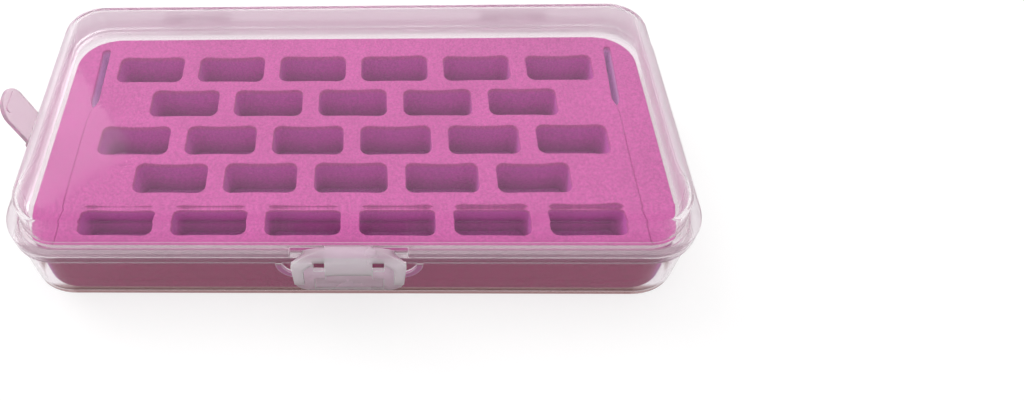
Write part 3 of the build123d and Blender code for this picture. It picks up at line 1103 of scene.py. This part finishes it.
def soft_lamp(name, place, size, power, mirrored):
    """A large square area lamp at a place in metres, turned to the origin, that gloss may mirror."""
    lamp = bpy.data.lights.new(name, "AREA")
    lamp.shape = "SQUARE"
    lamp.size = size
    lamp.energy = power
    holder = bpy.data.objects.new(name, lamp)
    holder.location = place
    holder.rotation_euler = (-Vector(place)).to_track_quat("-Z", "Y").to_euler()
    holder.visible_glossy = mirrored
    bpy.context.scene.collection.objects.link(holder)


class BOBBINBOX_OT_stage(bpy.types.Operator):
    """Sets the pale floor, the white room, the soft lamps and the camera"""

    bl_idname = "bobbinbox.stage"
    bl_label = "Set stage"

    def execute(self, context):
        scene = context.scene
        settings = scene.bobbin_stage
        scene.view_settings.view_transform = "Standard"

        paper = empty_material("white_card")
        tree = paper.node_tree
        matt = node(
            tree,
            "ShaderNodeBsdfPrincipled",
            Base_Color=(*settings.floor_colour, 1.0),
            Roughness=0.9,
        )
        lift = node(
            tree, "ShaderNodeEmission", links={"Strength": white_where_seen(tree, 0.7, 0.0)}
        )
        both = node(
            tree, "ShaderNodeAddShader", links={0: matt.outputs[0], 1: lift.outputs[0]}
        )
        node(tree, "ShaderNodeOutputMaterial", links={"Surface": both.outputs[0]})
        # A round sheet: circles about the middle, each a share of the full radius
        turn = np.linspace(0, 2 * np.pi, 65)[:-1]
        circle = np.column_stack([np.cos(turn), np.sin(turn), 0 * turn]) * FLOOR_RADIUS / MM
        sheet = np.stack([circle * share for share in (0.0, 0.2, 1.0)])
        floor = bpy.data.objects.new("floor", mesh_of("floor", [(sheet, True)]))
        scene.collection.objects.link(floor)
        give_finish(floor, paper)

        room = bpy.data.worlds.new("white_room")
        room.use_nodes = True
        tree = room.node_tree
        tree.nodes.clear()
        sky = node(
            tree,
            "ShaderNodeBackground",
            links={"Strength": white_where_seen(tree, 1.0, settings.surround)},
            Color=(1.0, 1.0, 1.0, 1.0),
        )
        node(tree, "ShaderNodeOutputWorld", links={"Surface": sky.outputs[0]})
        scene.world = room

        key_power = settings.key_power
        soft_lamp("key_lamp", (-0.05, 0.12, 0.8), size=0.8, power=key_power, mirrored=False)
        # Stands behind on the left, where the lid mirrors it as a pale haze over its left end
        side_power = key_power * SIDE_LAMP_SHARE
        soft_lamp("side_lamp", (-0.79, 0.75, 0.75), size=0.6, power=side_power, mirrored=True)

        # Looks at its target from a height and a little round to the right, and is rolled
        angles = (CAMERA_RISE, CAMERA_ROUND, CAMERA_ROLL)
        rise, round_by, roll = (math.radians(angle) for angle in angles)
        back = Vector(
            (
                math.sin(round_by) * math.cos(rise),
                -math.cos(round_by) * math.cos(rise),
                math.sin(rise),
            )
        )
        right = Vector((math.cos(round_by), math.sin(round_by), 0.0))
        up = back.cross(right)
        across = math.cos(roll) * right + math.sin(roll) * up
        upright = -math.sin(roll) * right + math.cos(roll) * up
        lens = bpy.data.cameras.new("camera")
        lens.sensor_width = 36.0
        lens.lens = lens.sensor_width * FOCAL_LENGTH / PHOTO_SIZE[0]
        lens.shift_x = (PHOTO_SIZE[0] / 2 - OPTICAL_CENTRE[0]) / PHOTO_SIZE[0]
        lens.shift_y = (OPTICAL_CENTRE[1] - PHOTO_SIZE[1] / 2) / PHOTO_SIZE[0]
        lens.clip_start = 0.01
        camera = bpy.data.objects.new("camera", lens)
        turned = Matrix((across, upright, back)).transposed().to_4x4()
        eye = Vector(CAMERA_TARGET) + back * CAMERA_DISTANCE
        camera.matrix_world = Matrix.Translation(eye) @ turned
        scene.collection.objects.link(camera)
        scene.camera = camera
        return {"FINISHED"}


class BOBBINBOX_PT_panel(bpy.types.Panel):
    """Settings and steps of the bobbin storage box"""

    bl_idname = "BOBBINBOX_PT_panel"
    bl_label = "Bobbin storage box"
    bl_space_type = "VIEW_3D"
    bl_region_type = "UI"
    bl_category = "Bobbin Box"

    def draw(self, context):
        for group in (context.scene.bobbin_case, context.scene.bobbin_foam, context.scene.bobbin_stage):
            box = self.layout.box()
            for name in group.bl_rna.properties.keys():
                if name not in ("rna_type", "name"):
                    box.prop(group, name)
        for step in STEPS:
            self.layout.operator(step.bl_idname)


STEPS = (
    BOBBINBOX_OT_case,
    BOBBINBOX_OT_latch,
    BOBBINBOX_OT_pins,
    BOBBINBOX_OT_foam,
    BOBBINBOX_OT_stage,
)
CLASSES = (CaseSettings, FoamSettings, StageSettings, *STEPS, BOBBINBOX_PT_panel)


def register():
    for made in CLASSES:
        bpy.utils.register_class(made)
    bpy.types.Scene.bobbin_case = bpy.props.PointerProperty(type=CaseSettings)
    bpy.types.Scene.bobbin_foam = bpy.props.PointerProperty(type=FoamSettings)
    bpy.types.Scene.bobbin_stage = bpy.props.PointerProperty(type=StageSettings)


def unregister():
    del bpy.types.Scene.bobbin_stage
    del bpy.types.Scene.bobbin_foam
    del bpy.types.Scene.bobbin_case
    for made in reversed(CLASSES):
        bpy.utils.unregister_class(made)


def main():
    register()
    bpy.ops.bobbinbox.case()
    bpy.ops.bobbinbox.latch()
    bpy.ops.bobbinbox.pins()
    bpy.ops.bobbinbox.foam()
    bpy.ops.bobbinbox.stage()


if __name__ == "__main__":
    main()
